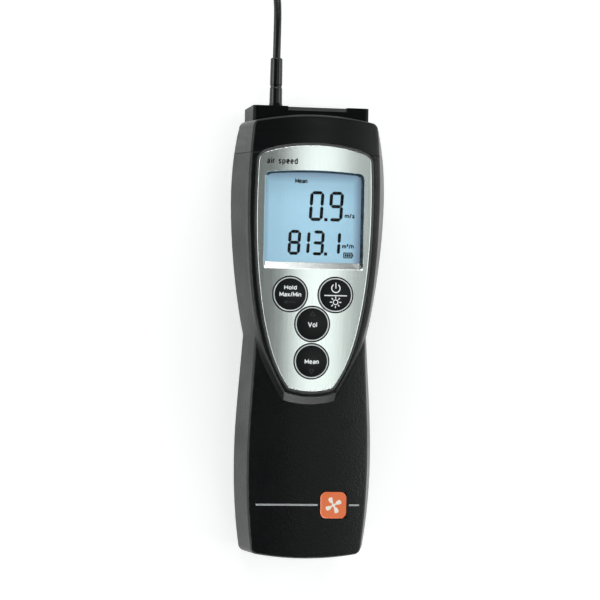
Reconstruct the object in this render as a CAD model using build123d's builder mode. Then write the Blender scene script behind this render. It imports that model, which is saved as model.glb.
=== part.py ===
"""Handheld vane anemometer: a black waisted meter with a raised display head, its
lead, and a telescopic probe with a small vane wheel at its tip.

The meter lies on its back. +Z is up out of the display, +Y runs to the end where
the lead comes out, +X is to the right as the display is read. The origin is on the
rear face that the meter rests on, under the middle of its length and width.
All sizes are millimetres."""

import os
from math import pi, radians, tan

from build123d import *

os.makedirs("parts", exist_ok=True)

# ---------------------------------------------------------------- driving sizes
REST_Z = 0.0  # rear face of the housing
SPLIT_Z = 22.0  # where the two half shells meet
GRIP_Z = 35.0  # front of the handle
POD_Z = 38.4  # rim of the raised head around the face plate
SEAM = 0.15  # gap in every housing joint line
WALL = 2.2
FLOOR = 3.0
CAVITY_TOP = 32.8

WAIST_Y = -1.8
TOP_CORNER_Y, TOP_APEX_Y = 84.2, 87.2
BOTTOM_CORNER_Y, BOTTOM_APEX_Y = -88.9, -91.0
CORNER_R = 3.0

HEAD_Y = (WAIST_Y, 8.0, 27.6, 47.0, 68.4, TOP_CORNER_Y)
HEAD_AT_SPLIT = (25.4, 27.4, 30.1, 31.5, 31.0, 28.4)
HEAD_AT_GRIP = (22.3, 23.9, 26.3, 27.5, 27.2, 25.7)
HANDLE_Y = (WAIST_Y, -22.0, -47.5, -68.0, BOTTOM_CORNER_Y)
HANDLE_AT_SPLIT = (25.4, 26.8, 28.1, 27.6, 25.2)
HANDLE_AT_GRIP = (22.3, 23.3, 24.4, 24.0, 22.0)
REAR_INSET = 3.0  # how much narrower the rear face is than the joint line

POD_HEAD_RIM = (20.9, 23.4, 25.7, 26.6, 26.3, 25.0)
POD_FOOT_V = ((19.9, -10.0), (17.0, -16.0), (13.6, -22.5), (10.5, -27.4))
POD_RIM_V = ((18.1, -9.9), (14.9, -16.3), (12.9, -20.2), (11.0, -23.6))
POD_FOOT_APEX, POD_RIM_APEX = -28.9, -25.7
POD_CORNER_R = 1.2
POD_EDGE_R, GRIP_EDGE_R = 1.1, 0.9  # rounding of the front edges

CAP_SEAM_Y = 71.5  # the top cap begins here

PLATE_SIDE = (
    (22.6, 70.9),
    (23.2, 50.9),
    (22.4, 28.5),
    (20.1, 9.3),
    (17.3, -3.5),
    (12.5, -16.3),
    (9.1, -22.0),
)
PLATE_TOP_CORNER_R, PLATE_LOW_CORNER_R = 4.0, 2.4
PLATE_TOP_APEX, PLATE_BOTTOM_APEX = 74.9, -23.5
PLATE_Z, PLATE_THICK = 38.7, 1.1
TRIM_GROW, TRIM_Z, TRIM_UNDER = 1.1, 38.45, 35.9
LEDGE_INSET = 1.1

WINDOW_TOP = (20.3, 25.3, 63.9, 64.9)  # half-width, bottom, corner and apex y
WINDOW_LOW = (19.3, 28.1, 63.1, 64.1)
WINDOW_TOP_R, WINDOW_LOW_R = 2.5, 0.9  # its upper and lower corners
BEVEL_Z = 36.4  # foot of the window's sloping edge
BEVEL_WALL = 0.9

KEYS = {
    "hold": (-9.2, 15.2),
    "power": (9.2, 15.2),
    "vol": (0.0, 3.4),
    "mean": (0.0, -11.5),
}
KEY_R, KEY_FLANGE_R, KEY_STEM_R = 6.9, 7.3, 2.2
KEY_HOLE_R, TRIM_KEY_HOLE_R = 7.15, 7.1
KEY_FLANGE_Z, KEY_EDGE_Z, KEY_TOP_Z = 34.4, 38.9, 39.6
KEY_RING = (6.35, 6.75, 38.7, 39.03)  # inner, outer radius, foot, top

PCB_Z, PCB_THICK = 26.4, 1.6
PCB_TOP = PCB_Z + PCB_THICK
MAT_TOP = PCB_TOP + 0.8
DOME_TOP = 31.7

CASE_SCREWS = ((21.5, 75.5), (-21.5, 75.5), (17.0, -20.0), (-17.0, -20.0))
PCB_SCREWS = ((24.4, 40.0), (24.4, 62.0), (16.4, -8.0))

BLOCK_X = (-24.7, 22.6)
BLOCK_Y = (80.0, 90.8)
BLOCK_Z = (6.0, 33.0)
FACET_X = (-10.6, 13.5)  # the sloping facet along the block's front edge
FACET_FALL, FACET_DEPTH = 3.4, 1.7

COVER_HALF, COVER_TOP_Y = 20.0, -30.0
COVER_Z = (0.25, 2.3)
COVER_LIP_Z = 8.0
TONGUE = (1.3, 1.15)  # how far it stands out, and its lower face

LEAD_X, LEAD_Z = -13.5, 18.0
LEAD_R = 1.6
BOOT_START_Y, BOOT_END_Y = 78.0, 111.4
BOOT_NECK_R, BOOT_FLANGE_R = 2.4, 4.0
BOOT_R = 2.55

COIL_X, COIL_Y = 4.0, 186.0
COIL_MID_R = 19.0
COIL_COLUMNS, COIL_LAYERS = 3, 4
TABLE_GAP = 0.05

BADGE_X, BADGE_Y = (5.6, 16.2), (-74.7, -64.1)
BADGE_LINE_X, BADGE_LINE_Y = ((-20.6, 4.4), (17.3, 21.4)), (-69.7, -69.0)

LABEL_X, LABEL_Y, LABEL_DEPTH = (-18.0, 18.0), (6.0, 52.0), 0.45

PROBE_X, PROBE_Z = -14.0, 9.2
PROBE_START = 233.0


def save(part, label):
    """Label a finished piece and write it."""
    part.label = label
    export_step(part, f"parts/{label}.step")


# ---------------------------------------------------------------- outlines
def both_sides(points, top_apex, bottom_apex, kink=None):
    """Lines of a closed outline that mirrors about x = 0. The points run down the
    right side; kink is the index of a point where the side changes direction."""
    cut = len(points) - 1 if kink is None else kink
    for side in (1, -1):
        run = [(side * x, y) for x, y in points]
        Spline(*run[: cut + 1])
        if cut < len(run) - 1:
            Spline(*run[cut:])
    x_top, y_top = points[0]
    x_low, y_low = points[-1]
    ThreePointArc((x_top, y_top), (0, top_apex), (-x_top, y_top))
    ThreePointArc((x_low, y_low), (0, bottom_apex), (-x_low, y_low))


def housing_outline(level, head, handle, inset=0.0):
    """The whole housing at one height, from its half-widths at HEAD_Y and HANDLE_Y."""
    top = [(x - inset, y) for x, y in zip(head, HEAD_Y)]
    low = [(x - inset, y) for x, y in zip(handle, HANDLE_Y)]
    top[-1] = (top[-1][0], TOP_CORNER_Y - inset)
    low[-1] = (low[-1][0], BOTTOM_CORNER_Y + inset)
    points = top[::-1] + low[1:]
    with BuildSketch(Plane.XY.offset(level)) as outline:
        with BuildLine():
            both_sides(points, TOP_APEX_Y - inset, BOTTOM_APEX_Y + inset, len(top) - 1)
        make_face()
        corners = outline.vertices().sort_by(Axis.Y)
        fillet(corners[:2] + corners[-2:], CORNER_R)
    return outline.sketch


def pod_outline(level, head, lower, bottom_apex):
    """The raised head at one height: the housing's own sides above the waist, and a
    shield-shaped point below it."""
    top = list(zip(head, HEAD_Y))
    points = top[::-1] + list(lower)
    with BuildSketch(Plane.XY.offset(level)) as outline:
        with BuildLine():
            both_sides(points, TOP_APEX_Y, bottom_apex, len(top) - 1)
        make_face()
        corners = outline.vertices().sort_by(Axis.Y)
        fillet(corners[-2:], CORNER_R)
        fillet(outline.vertices().sort_by(Axis.Y)[:2], POD_CORNER_R)
    return outline.sketch


def square_to(start, end):
    """The outward unit vector of a line that runs down the right side."""
    run = (Vector(*end) - Vector(*start)).normalized()
    return Vector(-run.Y, run.X)


def grown(points, top_apex, bottom_apex, amount):
    """A right side's points moved outward, its two end corners mitred."""
    across = [square_to(a, b) for a, b in zip(points, points[1:])]
    before = [square_to((0, top_apex), points[0])] + across
    after = across + [square_to(points[-1], (0, bottom_apex))]
    moved = []
    for point, one, two in zip(points, before, after):
        step = (one + two) * (amount / (1 + one.dot(two)))
        moved.append((point[0] + step.X, point[1] + step.Y))
    return moved


def plate_outline(level, grow=0.0):
    """The shield-shaped face plate, grown or shrunk all round."""
    ends = (PLATE_TOP_APEX, PLATE_BOTTOM_APEX)
    with BuildSketch(Plane.XY.offset(level)) as outline:
        with BuildLine():
            both_sides(grown(PLATE_SIDE, *ends, grow), ends[0] + grow, ends[1] - grow)
        make_face()
        corners = outline.vertices().sort_by(Axis.Y)
        fillet(corners[-2:], PLATE_TOP_CORNER_R + grow)
        fillet(outline.vertices().sort_by(Axis.Y)[:2], PLATE_LOW_CORNER_R + grow)
    return outline.sketch


def window_outline(level, size, grow=0.0):
    """The display opening: straight sides and an arched top."""
    half, low, corner, apex = size
    half, low, corner, apex = half + grow, low - grow, corner + grow, apex + grow
    with BuildSketch(Plane.XY.offset(level)) as outline:
        with BuildLine():
            Line((half, low), (half, corner))
            ThreePointArc((half, corner), (0, apex), (-half, corner))
            Line((-half, corner), (-half, low))
            Line((-half, low), (half, low))
        make_face()
        corners = outline.vertices().sort_by(Axis.Y)
        fillet(corners[-2:], WINDOW_TOP_R)
        fillet(outline.vertices().sort_by(Axis.Y)[:2], WINDOW_LOW_R)
    return outline.sketch


def discs(level, radius, places):
    """One circle at each place."""
    with BuildSketch(Plane.XY.offset(level)) as sketch:
        with Locations(*places):
            Circle(radius)
    return sketch.sketch


def slab(x, y, z, mode=Mode.ADD):
    """A box from its lowest and highest coordinates."""
    size = (x[1] - x[0], y[1] - y[0], z[1] - z[0])
    with Locations(((x[0] + x[1]) / 2, (y[0] + y[1]) / 2, (z[0] + z[1]) / 2)):
        Box(*size, mode=mode)


def block_opening(clearance):
    """Room for the end block in a shell."""
    slab(
        (BLOCK_X[0] - clearance, BLOCK_X[1] + clearance),
        (BLOCK_Y[0] - clearance, BLOCK_Y[1] + 4),
        (BLOCK_Z[0] - clearance, BLOCK_Z[1] + clearance),
        Mode.SUBTRACT,
    )


# ---------------------------------------------------------------- front shell
SLOPE = (CAVITY_TOP - SPLIT_Z) / (GRIP_Z - SPLIT_Z)
CAVITY_HEAD = [a + (b - a) * SLOPE for a, b in zip(HEAD_AT_SPLIT, HEAD_AT_GRIP)]
CAVITY_HANDLE = [a + (b - a) * SLOPE for a, b in zip(HANDLE_AT_SPLIT, HANDLE_AT_GRIP)]
ALL_PCB_SCREWS = [(side * x, y) for x, y in PCB_SCREWS for side in (1, -1)]

with BuildPart() as front:
    loft(
        [
            housing_outline(SPLIT_Z, HEAD_AT_SPLIT, HANDLE_AT_SPLIT),
            housing_outline(GRIP_Z, HEAD_AT_GRIP, HANDLE_AT_GRIP),
        ],
        ruled=True,
    )
    grip_rim = front.faces().sort_by(Axis.Z)[-1].edges()
    fillet(grip_rim.filter_by(lambda e: e.center().Y < WAIST_Y - 3), GRIP_EDGE_R)
    loft(
        [
            pod_outline(GRIP_Z, HEAD_AT_GRIP, POD_FOOT_V, POD_FOOT_APEX),
            pod_outline(POD_Z, POD_HEAD_RIM, POD_RIM_V, POD_RIM_APEX),
        ],
        ruled=True,
    )
    fillet(front.faces().sort_by(Axis.Z)[-1].edges(), POD_EDGE_R)
    loft(
        [
            housing_outline(SPLIT_Z, HEAD_AT_SPLIT, HANDLE_AT_SPLIT, WALL),
            housing_outline(CAVITY_TOP, CAVITY_HEAD, CAVITY_HANDLE, WALL),
        ],
        ruled=True,
        mode=Mode.SUBTRACT,
    )
    extrude(plate_outline(TRIM_UNDER - 0.05, TRIM_GROW + 0.05), 5, mode=Mode.SUBTRACT)
    extrude(plate_outline(CAVITY_TOP - 1, -LEDGE_INSET), 6, mode=Mode.SUBTRACT)
    extrude(discs(SPLIT_Z, 3.5, CASE_SCREWS), CAVITY_TOP - SPLIT_Z + 0.2)
    extrude(discs(PCB_TOP, 2.2, ALL_PCB_SCREWS), CAVITY_TOP - PCB_TOP + 0.2)
    extrude(discs(SPLIT_Z, 1.5, CASE_SCREWS), 9.5, mode=Mode.SUBTRACT)
    extrude(discs(PCB_TOP, 1.05, ALL_PCB_SCREWS), 4.4, mode=Mode.SUBTRACT)
    block_opening(SEAM)

with BuildPart() as front_shell:
    add(front.part)
    split(bisect_by=Plane.XZ.offset(-CAP_SEAM_Y + SEAM / 2), keep=Keep.TOP)
    slab((BADGE_X[0], BADGE_X[1]), BADGE_Y, (GRIP_Z - 0.5, GRIP_Z + 1), Mode.SUBTRACT)
    for span in BADGE_LINE_X:
        slab(span, BADGE_LINE_Y, (GRIP_Z - 0.2, GRIP_Z + 1), Mode.SUBTRACT)
save(front_shell.part, "front_shell")

with BuildPart() as top_cap:
    add(front.part)
    split(bisect_by=Plane.XZ.offset(-CAP_SEAM_Y - SEAM / 2), keep=Keep.BOTTOM)
save(top_cap.part, "top_cap")

# ---------------------------------------------------------------- rear shell
REAR_HEAD = [x - REAR_INSET for x in HEAD_AT_SPLIT]
REAR_HANDLE = [x - REAR_INSET for x in HANDLE_AT_SPLIT]
REAR_TOP = SPLIT_Z - SEAM
FLOOR_SLOPE = 1 - FLOOR / SPLIT_Z
FLOOR_HEAD = [x - REAR_INSET * FLOOR_SLOPE for x in HEAD_AT_SPLIT]
FLOOR_HANDLE = [x - REAR_INSET * FLOOR_SLOPE for x in HANDLE_AT_SPLIT]

with BuildPart() as rear_outside:
    loft(
        [
            housing_outline(REST_Z, REAR_HEAD, REAR_HANDLE),
            housing_outline(REAR_TOP, HEAD_AT_SPLIT, HANDLE_AT_SPLIT),
        ],
        ruled=True,
    )
    fillet(rear_outside.faces().sort_by(Axis.Z)[0].edges(), 3.2)

COVER_GAP = 0.15
TONGUE_OUT = COVER_HALF + TONGUE[0]
COVER_PAST_END = BOTTOM_APEX_Y - 2
COVER_LIP_Y = BOTTOM_CORNER_Y + 1.2

with BuildPart() as rear_shell:
    add(rear_outside.part)
    loft(
        [
            housing_outline(FLOOR, FLOOR_HEAD, FLOOR_HANDLE, WALL),
            housing_outline(SPLIT_Z, HEAD_AT_SPLIT, HANDLE_AT_SPLIT, WALL),
        ],
        ruled=True,
        mode=Mode.SUBTRACT,
    )
    for side in (1, -1):
        rail = sorted((side * (COVER_HALF + COVER_GAP), side * (COVER_HALF + 2.6)))
        slab(rail, (-86.0, COVER_TOP_Y), (FLOOR - 0.2, 4.4))
    extrude(discs(1.0, 4.25, CASE_SCREWS), REAR_TOP - 1.0)
    wide = COVER_HALF + COVER_GAP
    slab((-wide, wide), (COVER_PAST_END, COVER_TOP_Y + COVER_GAP), (-1, FLOOR + 0.1), Mode.SUBTRACT)
    slab(
        (-wide, wide),
        (COVER_PAST_END, COVER_LIP_Y + COVER_GAP),
        (-1, COVER_LIP_Z + COVER_GAP),
        Mode.SUBTRACT,
    )
    groove = TONGUE_OUT + COVER_GAP
    slab(
        (-groove, groove),
        (COVER_PAST_END, COVER_TOP_Y + COVER_GAP),
        (TONGUE[1] - COVER_GAP, COVER_Z[1] + COVER_GAP),
        Mode.SUBTRACT,
    )
    extrude(discs(REST_Z - 1, 3.1, CASE_SCREWS), 14.0, mode=Mode.SUBTRACT)
    extrude(discs(12.0, 1.6, CASE_SCREWS), 12.0, mode=Mode.SUBTRACT)
    slab(LABEL_X, LABEL_Y, (-1, LABEL_DEPTH), Mode.SUBTRACT)
    block_opening(SEAM)
save(rear_shell.part, "rear_shell")

with BuildPart() as rear_label:
    slab(
        (LABEL_X[0] + 0.1, LABEL_X[1] - 0.1),
        (LABEL_Y[0] + 0.1, LABEL_Y[1] - 0.1),
        (LABEL_DEPTH - 0.2, LABEL_DEPTH),
    )
    fillet(rear_label.edges().filter_by(Axis.Z), 1.5)
save(rear_label.part, "rear_label")

# ---------------------------------------------------------------- battery
with BuildPart() as battery_cover:
    slab((-COVER_HALF, COVER_HALF), (COVER_PAST_END, COVER_TOP_Y), COVER_Z)
    slab((-COVER_HALF, COVER_HALF), (COVER_PAST_END, COVER_LIP_Y), (COVER_Z[0], COVER_LIP_Z))
    slab((-TONGUE_OUT, TONGUE_OUT), (-84.0, COVER_TOP_Y), (TONGUE[1], COVER_Z[1]))
    slab((-4.0, 4.0), (COVER_TOP_Y - 4, COVER_TOP_Y + 3.4), (FLOOR + 0.2, FLOOR + 1.2))
    slab((-4.0, 4.0), (COVER_TOP_Y - 4, COVER_TOP_Y - 1), (COVER_Z[1] - 0.5, FLOOR + 1.2))
    add(rear_outside.part, mode=Mode.INTERSECT)
    with BuildSketch(Plane.XY.offset(-1)):
        with GridLocations(0, 2.4, 1, 6):
            with Locations((0, -42.0)):
                SlotOverall(20.0, 1.1)
    extrude(amount=1 + COVER_Z[0] + 0.5, mode=Mode.SUBTRACT)
save(battery_cover.part, "battery_cover")

BATTERY = ((-13.25, 13.25), (-82.5, -34.0), (4.2, 21.7))

with BuildPart() as battery_pad:
    slab((-10.0, 10.0), (-76.0, -56.0), (COVER_Z[1], BATTERY[2][0]))
save(battery_pad.part, "battery_pad")

with BuildPart() as battery_9v:
    slab(*BATTERY)
    fillet(battery_9v.edges().filter_by(Axis.Y), 1.6)
    with BuildSketch(Plane.XZ.offset(-BATTERY[1][1])):
        with Locations((-6.35, 13.0)):
            Circle(2.9)
        with Locations((6.35, 13.0)):
            RegularPolygon(4.0, 8)
    extrude(amount=-2.6)
save(battery_9v.part, "battery_9v")

SNAP_Y = (BATTERY[1][1] + 2.7, BATTERY[1][1] + 6.4)

with BuildPart() as battery_snap:
    slab((-12.6, 12.6), SNAP_Y, (7.0, 19.0))
    fillet(battery_snap.edges().filter_by(Axis.Y), 2.5)
save(battery_snap.part, "battery_snap")

TRAY = ((-15.4, 15.4), (-84.4, -25.4), (6.0, 24.0))
TRAY_WALL = 1.2

with BuildPart() as battery_tray:
    slab(*TRAY)
    slab(
        (TRAY[0][0] + TRAY_WALL, TRAY[0][1] - TRAY_WALL),
        (TRAY[1][0] + TRAY_WALL, TRAY[1][1] - TRAY_WALL),
        (TRAY[2][0] - 1, TRAY[2][1] - TRAY_WALL),
        Mode.SUBTRACT,
    )
    slab((-5.0, 5.0), (TRAY[1][1] - 3, TRAY[1][1] + 1), (0.0, 20.5), Mode.SUBTRACT)
    with BuildSketch(Plane.XY.offset(TRAY[2][1])):
        with GridLocations(20.0, 34.0, 2, 2):
            with Locations((0, -55.0)):
                Circle(2.5)
    extrude(amount=CAVITY_TOP - TRAY[2][1])
save(battery_tray.part, "battery_tray")

with BuildPart() as battery_leads:
    for side in (1, -1):
        start = (side * 3.0, SNAP_Y[1], 17.0)
        with BuildLine():
            FilletPolyline(
                start,
                (side * 3.0, -22.6, 17.0),
                (side * 3.0, -19.0, 20.5),
                (side * 3.0, -19.0, PCB_Z),
                radius=1.6,
            )
        with BuildSketch(Plane(start, x_dir=(1, 0, 0), z_dir=(0, 1, 0))):
            Circle(0.6)
        sweep()
save(battery_leads.part, "battery_leads")

# ---------------------------------------------------------------- face
def key_holes(level, radius, depth):
    extrude(discs(level, radius, KEYS.values()), depth, mode=Mode.SUBTRACT)


with BuildPart() as face_plate:
    extrude(plate_outline(PLATE_Z - PLATE_THICK, 0), PLATE_THICK)
    fillet(face_plate.faces().sort_by(Axis.Z)[-1].edges(), 0.25)
    extrude(window_outline(BEVEL_Z, WINDOW_TOP, BEVEL_WALL), PLATE_Z - 0.5 - BEVEL_Z)
    loft(
        [
            window_outline(BEVEL_Z - 0.01, WINDOW_LOW),
            window_outline(PLATE_Z + 0.01, WINDOW_TOP),
        ],
        ruled=True,
        mode=Mode.SUBTRACT,
    )
    key_holes(BEVEL_Z, KEY_HOLE_R, 4)
    key_rims = face_plate.faces().sort_by(Axis.Z)[-1].edges().filter_by(GeomType.CIRCLE)
    chamfer(key_rims.filter_by(lambda e: abs(e.radius - KEY_HOLE_R) < 0.01), 0.2)
save(face_plate.part, "face_plate")

with BuildPart() as face_trim:
    extrude(plate_outline(TRIM_UNDER, TRIM_GROW), TRIM_Z - TRIM_UNDER)
    fillet(face_trim.faces().sort_by(Axis.Z)[-1].edges(), 0.35)
    extrude(plate_outline(PLATE_Z - PLATE_THICK, 0.06), 4, mode=Mode.SUBTRACT)
    extrude(
        window_outline(TRIM_UNDER - 1, WINDOW_TOP, BEVEL_WALL + 0.1), 8, mode=Mode.SUBTRACT
    )
    key_holes(TRIM_UNDER - 1, TRIM_KEY_HOLE_R, 8)
save(face_trim.part, "face_trim")

# ---------------------------------------------------------------- display stack
LCD_X, LCD_Y = 19.9, (26.8, 65.4)
FRAME_X, FRAME_Y = 20.8, (24.8, 66.8)
WINDOW_Z = (35.0, 36.3)
LCD_Z = (33.0, 34.8)

with BuildPart() as display_window:
    extrude(window_outline(WINDOW_Z[0], WINDOW_TOP, 0.4), WINDOW_Z[1] - WINDOW_Z[0])
save(display_window.part, "display_window")

with BuildPart() as lcd_glass:
    slab((-LCD_X, LCD_X), LCD_Y, LCD_Z)
save(lcd_glass.part, "lcd_glass")

with BuildPart() as lcd_frame:
    slab((-FRAME_X, FRAME_X), FRAME_Y, (PCB_TOP, WINDOW_Z[0]))
    slab(
        (-LCD_X - 0.05, LCD_X + 0.05),
        (LCD_Y[0] - 0.05, LCD_Y[1] + 0.05),
        (LCD_Z[0], WINDOW_Z[0] + 1),
        Mode.SUBTRACT,
    )
    slab((-LCD_X + 0.9, LCD_X - 0.9), (28.0, 64.2), (PCB_TOP - 1, WINDOW_Z[0]), Mode.SUBTRACT)
save(lcd_frame.part, "lcd_frame")

with BuildPart() as backlight_panel:
    slab((-LCD_X + 1.0, LCD_X - 1.0), (28.1, 64.1), (PCB_TOP + 1.2, LCD_Z[0]))
save(backlight_panel.part, "backlight_panel")

# ---------------------------------------------------------------- electronics
with BuildPart() as main_pcb:
    with BuildSketch(Plane.XY.offset(PCB_Z)):
        with Locations((0, 51.0)):
            Rectangle(51.4, 34.0)
        with Locations((0, 10.5)):
            Rectangle(40.0, 47.0)
        with Locations((0, -17.5)):
            Rectangle(22.0, 9.0)
        with Locations(*ALL_PCB_SCREWS):
            Circle(1.2, mode=Mode.SUBTRACT)
    extrude(amount=PCB_THICK)
save(main_pcb.part, "main_pcb")

with BuildPart() as microcontroller:
    slab((-6.0, 6.0), (34.0, 46.0), (PCB_Z - 1.5, PCB_Z))
save(microcontroller.part, "microcontroller")

COMPONENTS = (
    (12.0, 30.0, 5.0, 7.0, 3.0),
    (-14.0, 32.0, 4.0, 8.0, 2.0),
    (13.0, 44.0, 6.0, 4.0, 1.8),
    (-13.0, 46.0, 6.5, 5.0, 1.4),
    (8.0, 56.0, 8.0, 5.0, 1.6),
    (-10.0, 10.0, 7.0, 9.0, 2.4),
    (9.0, 8.0, 10.0, 6.0, 4.0),
    (0.0, -8.0, 6.0, 4.0, 2.0),
)

with BuildPart() as pcb_components:
    for x, y, width, length, height in COMPONENTS:
        with Locations((x, y, PCB_Z)):
            Box(width, length, height, align=(Align.CENTER, Align.CENTER, Align.MAX))
save(pcb_components.part, "pcb_components")

with BuildPart() as keypad_mat:
    with BuildSketch(Plane.XY.offset(PCB_TOP)):
        with Locations(*KEYS.values()):
            Circle(6.6)
        with Locations((0, 15.2)):
            Rectangle(18.4, 8.0)
        with Locations((0, 0)):
            Rectangle(9.0, 30.0)
    extrude(amount=MAT_TOP - PCB_TOP)
save(keypad_mat.part, "keypad_mat")


def key_dome(x, y):
    """A hollow rubber cone that carries a key and gives when it is pressed."""
    with BuildPart() as dome:
        with BuildSketch(Plane.XZ):
            with BuildLine():
                Polyline(
                    (0, DOME_TOP),
                    (2.2, DOME_TOP),
                    (4.2, MAT_TOP + 0.6),
                    (4.6, MAT_TOP),
                    (3.6, MAT_TOP),
                    (1.7, DOME_TOP - 0.9),
                    (0, DOME_TOP - 0.9),
                    close=True,
                )
            make_face()
        revolve(axis=Axis.Z)
    return dome.part.moved(Location((x, y, 0)))


def key(x, y):
    """A round key with a domed top, a flange under the trim and a stem."""
    inner, outer, foot, _ = KEY_RING
    dome_high = KEY_TOP_Z - KEY_EDGE_Z
    cap_r = (KEY_R**2 + dome_high**2) / (2 * dome_high)
    with BuildPart() as body:
        with BuildSketch(Plane.XZ):
            with BuildLine():
                Polyline(
                    (0, KEY_TOP_Z),
                    (0, DOME_TOP),
                    (KEY_STEM_R, DOME_TOP),
                    (KEY_STEM_R, KEY_FLANGE_Z),
                    (KEY_FLANGE_R, KEY_FLANGE_Z),
                    (KEY_FLANGE_R, KEY_FLANGE_Z + 1.2),
                    (KEY_R, KEY_FLANGE_Z + 1.2),
                    (KEY_R, KEY_EDGE_Z),
                )
                RadiusArc((KEY_R, KEY_EDGE_Z), (0, KEY_TOP_Z), -cap_r)
            make_face()
        revolve(axis=Axis.Z)
        with BuildSketch(Plane.XY.offset(foot)):
            Circle(outer)
            Circle(inner, mode=Mode.SUBTRACT)
        extrude(amount=2, mode=Mode.SUBTRACT)
    return body.part.moved(Location((x, y, 0)))


def key_ring(x, y):
    """The bright line let into the top of a key."""
    inner, outer, foot, top = KEY_RING
    with BuildPart(Plane((x, y, foot))) as ring:
        Cylinder(outer, top - foot, align=(Align.CENTER, Align.CENTER, Align.MIN))
        Hole(inner)
    return ring.part


for name, (x, y) in KEYS.items():
    save(key_dome(x, y), f"key_dome_{name}")
    save(key(x, y), f"button_{name}")
    save(key_ring(x, y), f"key_ring_{name}")


def screws(places, head_z, head_r, head_high, shank_r, shank_top):
    """Identical screws, heads down, as separate solids."""
    with BuildPart() as group:
        for x, y in places:
            with BuildSketch(Plane((x, y, head_z))):
                Circle(head_r)
            extrude(amount=head_high)
            with BuildSketch(Plane((x, y, head_z + head_high))):
                Circle(shank_r)
            extrude(amount=shank_top - head_z - head_high)
            with BuildSketch(Plane((x, y, head_z))):
                Rectangle(head_r * 1.2, head_r * 0.25)
                Rectangle(head_r * 0.25, head_r * 1.2)
            extrude(amount=head_high * 0.5, mode=Mode.SUBTRACT)
    return group.part


save(screws(CASE_SCREWS, 10.9, 2.8, 2.1, 1.45, 30.5), "case_screws")
save(screws(ALL_PCB_SCREWS, PCB_Z - 1.5, 1.9, 1.5, 1.0, 32.0), "pcb_screws")

# ---------------------------------------------------------------- handle marks
with BuildPart() as badge:
    slab(BADGE_X, BADGE_Y, (GRIP_Z - 0.5, GRIP_Z + 0.35))
    fillet(badge.edges().filter_by(Axis.Z), 2.4)
    chamfer(badge.faces().sort_by(Axis.Z)[-1].edges(), 0.3)
save(badge.part, "badge")

with BuildPart() as badge_line:
    for span in BADGE_LINE_X:
        slab(span, BADGE_LINE_Y, (GRIP_Z - 0.2, GRIP_Z + 0.08))
save(badge_line.part, "badge_line")

# ---------------------------------------------------------------- end block, lead
with BuildPart() as end_block:
    slab(BLOCK_X, BLOCK_Y, BLOCK_Z)
    fillet(end_block.edges().filter_by(Axis.Y), 2.0)
    end_y, front_z = BLOCK_Y[1], BLOCK_Z[1]
    with BuildSketch(Plane.YZ.offset(FACET_X[0])):
        with BuildLine():
            Polyline(
                (end_y, front_z - FACET_FALL),
                (end_y, front_z),
                (end_y - FACET_DEPTH, front_z),
                close=True,
            )
        make_face()
    extrude(amount=FACET_X[1] - FACET_X[0], mode=Mode.SUBTRACT)
    with BuildSketch(Plane.XZ.offset(-BLOCK_Y[0] + 1)):
        with Locations((LEAD_X, LEAD_Z)):
            Circle(BOOT_NECK_R + 0.05)
    extrude(amount=-20, mode=Mode.SUBTRACT)
save(end_block.part, "end_block")


def turned(profile, x, z):
    """A solid turned about a line along +Y, from (radius, y) points."""
    with BuildPart() as solid:
        with BuildSketch():
            with BuildLine():
                Polyline(*profile, close=True)
            make_face()
        revolve(axis=Axis.Y)
    return solid.part.moved(Location((x, 0, z)))


flange_y = BLOCK_Y[0] - 0.1
foot_y = BLOCK_Y[1] + 0.05
boot_profile = (
    (0.0, BOOT_START_Y),
    (BOOT_FLANGE_R, BOOT_START_Y),
    (BOOT_FLANGE_R, flange_y),
    (BOOT_NECK_R, flange_y),
    (BOOT_NECK_R, foot_y),
    (BOOT_R + 0.5, foot_y),
    (BOOT_R + 0.35, foot_y + 0.9),
    (BOOT_R + 0.05, foot_y + 2.2),
    (BOOT_R, foot_y + 8.2),
    (BOOT_R - 0.2, foot_y + 8.5),
    (BOOT_R - 0.2, foot_y + 9.3),
    (BOOT_R, foot_y + 9.6),
    (BOOT_R - 0.1, BOOT_END_Y - 0.4),
    (BOOT_R - 0.4, BOOT_END_Y),
    (0.0, BOOT_END_Y),
)
save(turned(boot_profile, LEAD_X, LEAD_Z), "cable_boot")

SOCKET_Y = (60.0, 69.0)
lead_inner_profile = (
    (0, SOCKET_Y[1]),
    (LEAD_R, SOCKET_Y[1]),
    (LEAD_R, BOOT_START_Y),
    (0, BOOT_START_Y),
)
save(turned(lead_inner_profile, LEAD_X, LEAD_Z), "lead_inner")

with BuildPart() as lead_socket:
    slab((LEAD_X - 5, LEAD_X + 5), SOCKET_Y, (15.0, PCB_Z))
    fillet(lead_socket.edges().filter_by(Axis.Y), 0.8)
save(lead_socket.part, "lead_socket")

with BuildPart() as lead_clamp:
    slab((LEAD_X - 3.4, LEAD_X + 7), (71.2, 75.2), (FLOOR, REAR_TOP))
    with BuildSketch(Plane.XZ.offset(-70)):
        with Locations((LEAD_X, LEAD_Z)):
            Circle(LEAD_R + 0.03)
    extrude(amount=-8, mode=Mode.SUBTRACT)
save(lead_clamp.part, "lead_clamp")

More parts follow.
